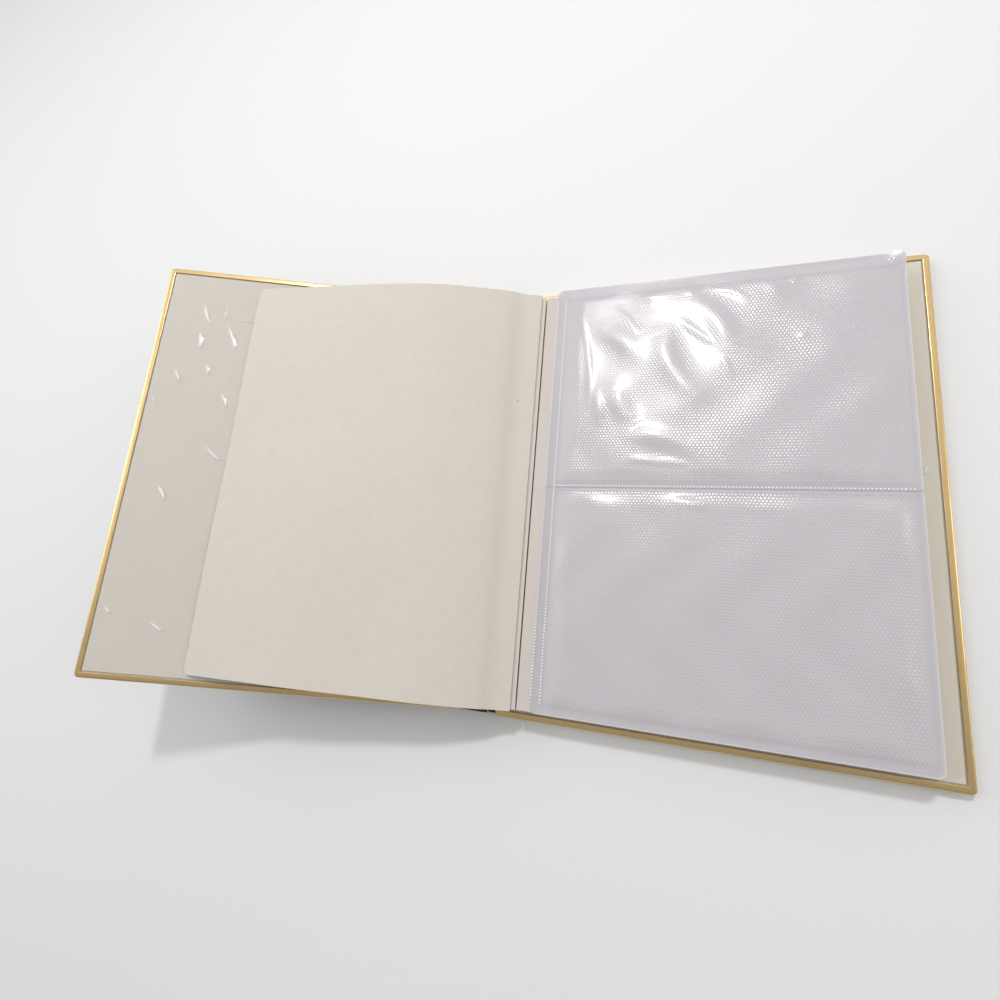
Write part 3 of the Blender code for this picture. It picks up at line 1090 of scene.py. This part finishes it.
@dataclass
class Flyleaf:
    """A sheet of cream paper, turned over to the left, that bends up beside the gutter and arches over.

    The arches' knots and the speck's place are in millimetres out from the gutter.
    """

    lie: Lie
    gap: float = 0.3 * MM
    radius: float = 3.0 * MM
    thickness: float = 0.28 * MM
    head_arch: tuple[tuple[float, float], ...] = (
        (0.0, 0.0), (5.0, 0.4), (9.0, 0.8), (12.0, 1.5), (16.0, 2.9), (20.0, 3.9), (26.0, 4.9),
        (38.0, 6.5), (56.0, 8.4), (81.0, 8.0), (117.0, 4.8), (143.0, 2.2), (169.0, 0.0),
    )
    tail_arch: tuple[tuple[float, float], ...] = (
        (0.0, 0.0), (4.0, 0.4), (8.0, 0.8), (11.0, 1.5), (15.0, 2.9), (20.0, 4.0), (27.0, 5.0),
        (43.0, 6.3), (77.0, 5.4), (110.0, 4.9), (138.0, 2.6), (169.0, 0.6),
    )
    wave: float = 0.35 * MM
    wave_along: float = 19.0 * MM
    wave_out: float = 40.0 * MM
    speck_place: tuple[float, float] = (9.0, 45.0)
    flattened: float = 0.02
    rows: int = 140
    cols: int = 170

    def __post_init__(self) -> None:
        """Take the sheet's ends and its reach from the frame."""
        self.low, self.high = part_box("flyleaf")
        self.far = (self.lie.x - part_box("flyleaf_outer")[0].x) / math.cos(self.lie.rise)

    def height(self, out: Array, along: Array) -> Array:
        """Height of the sheet's middle over its chord.

        It runs smoothly from one arch at the head to another at the tail, with a shallow wave that grows
        towards the fore-edge.

        Args:
            out: distance out from the gutter, in metres.
            along: distance along the album, in metres.

        Returns:
            The height in metres.
        """
        head = ease((along - self.low.y) / (self.high.y - self.low.y))
        arch = head * through(self.head_arch, out / MM) + (1.0 - head) * through(self.tail_arch, out / MM)
        phase = along / self.wave_along + out / self.wave_out
        return arch * MM + self.wave * ease(out / self.far) * np.sin(phase)

    def build(self) -> None:
        """Lay the sheet out on its arch.

        It rides on the middle strip of the three that stand for it in the frame.
        """
        low, high = self.low, self.high
        along, draw = rounded_rows(low.y, high.y, self.radius, np.linspace(low.y, high.y, self.rows))
        share = np.linspace(0.0, 1.0, self.cols)[None, :]
        out = self.gap + (self.far - draw[:, None] - self.gap) * share
        height = self.height(out, along[:, None])
        half = self.thickness / 2
        skins = [self.lie.points(out, along[:, None], height + offset) for offset in (half, -half)]
        speck = [np.array(place * MM) for place in self.speck_place]
        spot = self.lie.points(*speck, self.height(*speck) + half)
        finish = SpeckedPaper("flyleaf_paper", speck_place=tuple(float(v) for v in spot))
        piece = Piece("paper_flyleaf", Shell.between(*skins), finish.material(), "cream_paper")
        obj = piece.ride("flyleaf_middle", "flyleaf", "flyleaf_middle", "flyleaf_outer")
        crown = Lie.at("flyleaf_middle_bend")
        tuple(self.lie.normal())
        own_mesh(obj)
        flat = np.sum(np.hypot(np.diff(out), np.diff(height)), axis=1).max()
        log.info("flyleaf, laid flat: %.1f by %.1f mm", flat / MM, (high.y - low.y) / MM)


# Leaves

@dataclass
class Leaf:
    """One pocket leaf: two clear sheets welded round two pockets, on a paper tab.

    The gutter's lines and dots are placed from the sheets' inner end, and the divider's dots from the
    line between the pockets.
    """

    number: int
    creases: tuple[Crease, ...] = ()
    ripple: float = 0.10 * MM
    back_sag: float = -0.5
    step: float = 2.6 * MM
    coarse_step: float = 2.6 * MM
    puff: float = 0.0
    curl: float = 0.0
    radius: float = 3.4 * MM
    rim: float = 1.2 * MM
    swell_margin: float = 9.0 * MM
    crease_margin: float = 4.0 * MM
    emboss_margin: float = 2.0 * MM
    wave_out: float = 6.5 * MM
    wave_along: float = 9.0 * MM
    wave_sway: float = 0.9
    sway_length: float = 13.0 * MM
    curl_reach: float = 13.0 * MM
    gutter_lines: tuple[float, float] = (1.7 * MM, 4.2 * MM)
    line_half: float = 0.35 * MM
    divider_press: float = 0.95
    gutter_press: float = 0.35
    # painted highlight along the sheets' rims
    rim_white: float = 0.6
    gutter_dots: tuple[float, float] = (0.8 * MM, 5.2 * MM)
    divider_dots: float = 0.8 * MM
    dot_pitch: float = 1.5 * MM
    dot_points: int = 4
    dot_radius: float = 0.36 * MM
    dot_height: float = 0.20 * MM
    dot_foot: float = 0.15
    dot_sink: float = 0.04 * MM
    flattened: float = 0.12

    def __post_init__(self) -> None:
        """Take the leaf's sizes from the frame."""
        self.name = f"leaf_{self.number}"
        self.lie = Lie.at(f"{self.name}_turn")
        self.low, self.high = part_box(f"{self.name}_front_film")
        upper, lower = (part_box(f"{self.name}_{place}_card") for place in ("upper", "lower"))
        self.cards = (upper, lower)
        self.divider = (upper[0].y + lower[1].y) / 2
        self.lines = tuple(self.low.x + place for place in self.gutter_lines)

    def pocket(self, x: Array, y: Array, margin: float) -> Array:
        """Find the pockets: the product of smooth rises from the ends, the sides and the divider.

        Args:
            x: places across the leaf.
            y: places along the album.
            margin: the width of each rise.

        Returns:
            1 inside the pockets, and 0 at the sheet's rims and welds.
        """
        ends = inset(x, self.cards[0][0].x, self.high.x - 2 * self.rim)
        sides = inset(y, self.low.y, self.high.y) - self.rim
        away = np.abs(y - self.divider) - self.rim / 2
        return ease(ends / margin) * ease(sides / margin) * ease(away / margin)

    def pressed(self, x: Array, y: Array) -> Array:
        """How hard the welds press the sheet: most on the line between the pockets, less along the gutter.

        Each line is 1 - d / w at a distance d, down to 0 at half a line's width w.

        Args:
            x: places across the leaf.
            y: places along the album.

        Returns:
            The press, from 0 to 1.
        """
        across = np.clip(1.0 - np.abs(y - self.divider) / self.line_half, 0.0, 1.0)
        beside = [np.clip(1.0 - np.abs(x - line) / self.line_half, 0.0, 1.0) for line in self.lines]
        return np.maximum(self.divider_press * across, self.gutter_press * np.max(beside, axis=0))

    def lift(self, x: Array, y: Array) -> Array:
        """How far the front sheet stands off its flat place.

        Slow crossed waves and a puff inside the pockets, the creases on top of them, and a curl at the
        head's outer corner that grows with the square of the distance into the corner.

        Args:
            x: places across the leaf.
            y: places along the album.

        Returns:
            The lift in metres.
        """
        out = x - self.lie.x
        sway = self.wave_sway * np.sin(y / self.sway_length)
        waves = np.sin(out / self.wave_out + sway) * np.sin(y / self.wave_along)
        rise = self.pocket(x, y, self.swell_margin) * (self.puff + self.ripple * (1.0 + waves))
        if self.creases:
            rise = rise + self.pocket(x, y, self.crease_margin) * creased(self.creases, out, y)
        corner = np.maximum(0.0, 1.0 - np.hypot(self.high.x - x, self.high.y - y) / self.curl_reach)
        return rise + self.curl * corner**2

    def sheet(self, face: str) -> bpy.types.Object:
        """One clear sheet with rounded corners.

        Args:
            face: front for the sheet over the cards, or back for the one under them.

        Returns:
            The object.
        """
        node = f"{self.name}_{face}_film"
        low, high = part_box(node)
        wide, tall = high.x - low.x, high.y - low.y
        front = face == "front"
        step = self.step if front else self.coarse_step
        places = np.linspace(low.y, high.y, round(tall / step))
        places = finer(places, (self.divider,), self.line_half)
        rows, draw = rounded_rows(low.y, high.y, self.radius, places)
        edges = (low.x + self.line_half, high.x - self.line_half)
        cols = np.linspace(low.x, high.x, round(wide / step))
        cols = finer(cols, edges + self.lines, self.line_half)
        y, drawn = rows[:, None], draw[:, None]
        x = low.x + drawn + (wide - 2 * drawn) * (cols - low.x)[None, :] / wide
        if front:
            lift = self.lift(x, y)
        else:
            lift = self.back_sag * self.ripple * self.pocket(x, y, self.swell_margin)
        skins = [grid(x, y, z + lift) for z in (high.z, low.z)]
        border = np.minimum(inset(x, low.x + drawn, high.x - drawn), inset(y, low.y, high.y))
        marks = {
            "pocket": self.pocket(x, y, self.emboss_margin),
            # painted highlight: a white line along the sheet's rim, carried by the crease attribute
            "crease": self.rim_white * np.clip(1.0 - border / self.line_half, 0.0, 1.0),
            "line": self.pressed(x, y),
        }
        name, shell = f"{self.name}_{face}_sheet", Shell.between(*skins)
        piece = Piece(name, shell, Finishes.POCKET_FILM.material, "sleeve_film", marks)
        return piece.ride(self.name, node)

    def weld_dots(self) -> None:
        """Rows of small domes where the sheets are welded: twice beside the tab, and between the pockets.

        A dome is a square patch drawn round, with a height of 1 - r^2 on a low foot.
        """
        upper, lower = self.cards
        long_row = np.arange(lower[0].y, upper[1].y, self.dot_pitch)
        cross_row = np.arange(upper[0].x, upper[1].x, self.dot_pitch)
        spots = [(self.low.x + place, y) for place in self.gutter_dots for y in long_row]
        spots += [(x, self.divider + self.divider_dots) for x in cross_row]
        patch = np.linspace(-1.0, 1.0, self.dot_points)
        a, b = np.meshgrid(patch, patch)
        round_a = a * np.sqrt(1.0 - b**2 / 2)
        round_b = b * np.sqrt(1.0 - a**2 / 2)
        bulge = np.clip(1.0 - round_a**2 - round_b**2, 0.0, 1.0)
        dome = self.dot_foot + (1.0 - self.dot_foot) * bulge
        base = self.high.z - self.dot_sink
        domes = []
        for x, y in spots:
            plan = (x + self.dot_radius * round_a, y + self.dot_radius * round_b)
            domes.append(Shell.between(grid(*plan, base + self.dot_height * dome), grid(*plan, base)))
        shell = Shell.joined(domes)
        none = np.zeros(len(shell.points))
        # painted highlight: the weld dots are whitened all over, standing in for their glints
        marks = {"pocket": none, "crease": none + 1.0, "line": none}
        name = f"{self.name}_weld_dots"
        piece = Piece(name, shell, Finishes.POCKET_FILM.material, "sleeve_film", marks)
        piece.ride(self.name)

    def build(self) -> None:
        """Make both sheets and their welds. A puffed front sheet is given a mesh of its own."""
        front = self.sheet("front")
        self.sheet("back")
        self.weld_dots()
        if self.puff:
            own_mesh(front)


# Studio

@dataclass(frozen=True)
class Lamp:
    """A round soft lamp, with its diameter in metres and its power in watts."""

    name: str
    diameter: float
    watts: float

    def hang(self, place: Vector, target: Vector) -> None:
        """Hang the lamp so that it faces a point.

        Args:
            place: where it hangs.
            target: where it points.
        """
        data = bpy.data.lights.new(self.name, "AREA")
        data.shape = "DISK"
        data.size = self.diameter
        data.energy = self.watts
        obj = in_scene(self.name, data)
        obj.location = place
        obj.rotation_euler = (target - place).to_track_quat("-Z", "Y").to_euler()


@dataclass
class Studio:
    """Camera, floor and lamps."""

    camera_place: tuple[float, float, float] = (87.13 * MM, -60.44 * MM, 262.14 * MM)
    view: tuple[float, float, float] = (-0.3215, 0.1954, -0.9265)
    up: tuple[float, float, float] = (-0.0204, 0.9768, 0.2131)
    lens: float = 18.0
    sensor: float = 36.0
    nearest: float = 10.0 * MM
    floor_colour: Colour = (0.80, 0.80, 0.80)
    floor_cloud: float = 0.97
    floor_reach: float = 6.0
    floor_top: float = -0.3 * MM
    floor_foot: float = -20.0 * MM
    sky: tuple[float, float] = (0.32, 0.72)
    sky_turn: tuple[float, float] = (-0.3, 0.6)
    glint_place: tuple[float, float, float] = (78.4 * MM, 71.2 * MM, 17.3 * MM)
    key: Lamp = Lamp("key", 0.09, 3.8)
    key_distance: float = 0.95
    fill: Lamp = Lamp("fill", 0.90, 5.6)
    fill_place: tuple[float, float, float] = (-0.95, 0.25, 0.95)
    side: Lamp = Lamp("side", 0.60, 2.2)
    side_place: tuple[float, float, float] = (1.15, 0.05, 0.75)

    def camera(self) -> None:
        """Set the camera at the place and angle of view that the album is seen from."""
        data = bpy.data.cameras.new("camera")
        data.lens = self.lens
        data.sensor_width = self.sensor
        data.clip_start = self.nearest
        obj = in_scene("camera", data)
        forward = Vector(self.view).normalized()
        right = forward.cross(Vector(self.up)).normalized()
        turn = Matrix((right, right.cross(forward), -forward)).transposed()
        obj.matrix_world = Matrix.Translation(self.camera_place) @ turn.to_4x4()
        bpy.context.scene.camera = obj

    def floor(self) -> None:
        """A plain pale floor, under the album."""
        half = self.floor_reach / 2
        x = np.linspace(-half, half, 2)[None, :]
        y = np.linspace(-half, half, 2)[:, None]
        shell = Shell.between(*(grid(x, y, z) for z in (self.floor_top, self.floor_foot)))
        recipe = Recipe.material("pale_floor")
        clouded = tuple(self.floor_cloud * value for value in self.floor_colour)
        colour = recipe.mix(recipe.noise(scale=3.0, detail=2.0), self.floor_colour, clouded)
        recipe.set(Base_Color=colour, Roughness=0.9)
        mesh = bpy.data.meshes.new("floor")
        mesh.from_pydata(shell.points.tolist(), [], shell.outward().tolist())
        mesh.materials.append(recipe.owner)
        in_scene("floor", mesh)

    def light(self) -> None:
        """A key lamp where the top leaf mirrors it to the camera, a fill on either side, and the sky."""
        glint = Vector(self.glint_place)
        ray = (glint - Vector(self.camera_place)).normalized()
        away = Vector((ray.x, ray.y, -ray.z))
        self.key.hang(glint + away * self.key_distance, glint)
        self.fill.hang(Vector(self.fill_place), glint)
        self.side.hang(Vector(self.side_place), glint)
        self.soft_sky()

    def soft_sky(self) -> None:
        """A white sky, brighter towards the album's head than towards its tail.

        Its strength rises smoothly with the Y of the direction.
        """
        world = bpy.context.scene.world or bpy.data.worlds.new("studio")
        bpy.context.scene.world = world
        recipe = Recipe(world, "Background")
        direction = recipe.node("ShaderNodeTexCoord", output="Generated")
        headward = recipe.node("ShaderNodeSeparateXYZ", inputs={0: direction}, output="Y")
        dim, bright = self.sky
        strength = dim + recipe.span(headward, *self.sky_turn) * (bright - dim)
        recipe.set(Color=(1.0, 1.0, 1.0), Strength=strength)

    def build(self) -> None:
        """Camera, floor and light."""
        bpy.context.scene.view_settings.view_transform = "Standard"
        self.camera()
        self.floor()
        self.light()


# The album

NODE_FINISHES: dict[str, Finishes] = {
    "board": Finishes.BOARD,
    "spine_lining": Finishes.COVERING,
    # painted light: the back lining takes the lighter copy of the lining paper
    "back_lining": Finishes.SHADED_LINING,
    "lining": Finishes.LINING,
    # painted shade: the tabs take the darkened copy of the cream card
    "tab": Finishes.TAB,
    "card": Finishes.CARD,
    "seams": Finishes.WELD,
}

FRONT_STREAKS = (
    Crease((172, 96), (166, 83), 0.42, 0.9, 1.2),
    Crease((172, 78), (170, 68), 0.45, 1.1, -0.6),
    Crease((157, 84), (150, 69), 0.42, 0.9, -0.8),
    Crease((143, 66), (140, 53), 0.42, 0.8, -0.8),
    Crease((165, 59), (162, 52), 0.38, 0.8, -0.5),
    Crease((182, 54), (177, 46), 0.38, 0.8, -0.4),
    Crease((153, 42), (148, 33), 0.40, 0.8, -0.5),
    Crease((155, 10), (145, 2), 0.40, 0.8, 0.8),
    Crease((176, -15), (171, -23), 0.42, 0.9, -0.5),
    Crease((159, 96), (159, 87), 0.28, 0.8, 0.4),
    Crease((153, 88), (141, 89), 0.22, 0.9, 0.6),
    Crease((191, 38), (188, 30), 0.26, 0.8, 0.0),
    Crease((187, 112), (183, 107), 0.26, 0.8, 0.0),
    Crease((190, -81), (185, -85), 0.36, 0.9, 0.3),
    Crease((165, -87), (156, -92), 0.38, 0.9, 0.4),
    Crease((142, -85), (141, -89), 0.32, 0.7, 0.0),
)

BACK_STREAKS = (
    Crease((190, 16), (187, 9), 0.34, 0.9, 0.5),
    Crease((186, -38), (184, -42), 0.30, 0.8, 0.0),
    Crease((188, 60), (186, 50), 0.22, 0.8, 0.3),
)

POCKET_CREASES = (
    Crease((20, 94), (27, 42), 0.32, 1.7, 2.0),
    Crease((34, 84), (48, 70), 0.75, 5.2, 1.0),
    Crease((30, 48), (33, 34), 0.50, 3.0, 0.5),
    Crease((40, 50), (48, 33), 0.85, 5.0, -1.0),
    Crease((63, 80), (78, 46), 0.95, 5.4, -4.0),
    Crease((49, 26), (75, 19), 0.90, 4.6, 1.5),
    Crease((49, 13), (73, 11), 0.42, 2.2, 0.0),
    Crease((77, 98), (93, 72), 0.95, 5.4, 3.0),
    Crease((71, 86), (87, 72), 0.36, 1.9, 0.0),
    Crease((85, 102), (101, 95), 0.36, 1.9, 2.0),
    Crease((52, 100), (60, 102), 0.45, 3.0, 0.0),
    Crease((73, 104), (78, 98), 0.45, 2.6, 0.0),
    Crease((110, 103), (117, 96), 0.50, 3.4, 0.0),
    Crease((121, 104), (124, 102), 0.35, 2.2, 0.0),
    Crease((39, 96), (50, 82), 0.30, 1.7, 0.5),
    Crease((90, 65), (94, 55), 0.30, 1.7, 0.0),
    Crease((124, 74), (126, 72), 0.30, 1.8, 0.0),
    Crease((70, -7), (85, -9), 0.40, 2.4, -0.4),
    Crease((24, -6), (33, -7), 0.30, 2.4, 0.0),
)


def dress_nodes() -> None:
    """Give every node that shows its finish, by the last words of its name."""
    for name, obj in frame["nodes"].items():
        finish = next((one for ending, one in NODE_FINISHES.items() if name.endswith(ending)), None)
        if finish:
            for slot in obj.material_slots:
                slot.material = finish.material
            log.info("%s: %s", name, finish.value.name)


def main() -> None:
    """Build the album's pieces in order, then the studio."""
    logging.basicConfig(level=logging.INFO, format="%(message)s")
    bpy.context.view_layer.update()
    dress_nodes()
    spine_half = (Lie.at("spine_fold").x - Lie.at("front_fold").x) / 2
    back = Cover("back", Lie.at("spine_fold"), streaks=BACK_STREAKS)
    front_lie = Lie.at("front_fold", leftover_angle(math.pi / 2, "front_fold"), -1)
    front = Cover("front", front_lie, streaks=FRONT_STREAKS)
    for cover in (back, front):
        cover.metal_edge()
        cover.lining_film()
    back.covering(spine_half, ("back_cover", "spine"), "back_covering", "spine_covering")
    front.covering(spine_half, ("spine", "front_cover"), "front_covering")
    Binding().build()
    chord_rise = leftover_angle(math.pi, "flyleaf_turn", "flyleaf_middle_bend")
    Flyleaf(Lie.at("flyleaf_turn", chord_rise, -1)).build()
    top_leaf = Leaf(1, POCKET_CREASES, ripple=0.38 * MM, step=0.9 * MM, puff=0.4 * MM, curl=2.2 * MM)
    top_leaf.build()
    leaves = sum(name.endswith("_front_film") for name in frame["nodes"])
    for number in range(2, leaves + 1):
        Leaf(number).build()
    Studio().build()


if __name__ == "__main__":
    main()
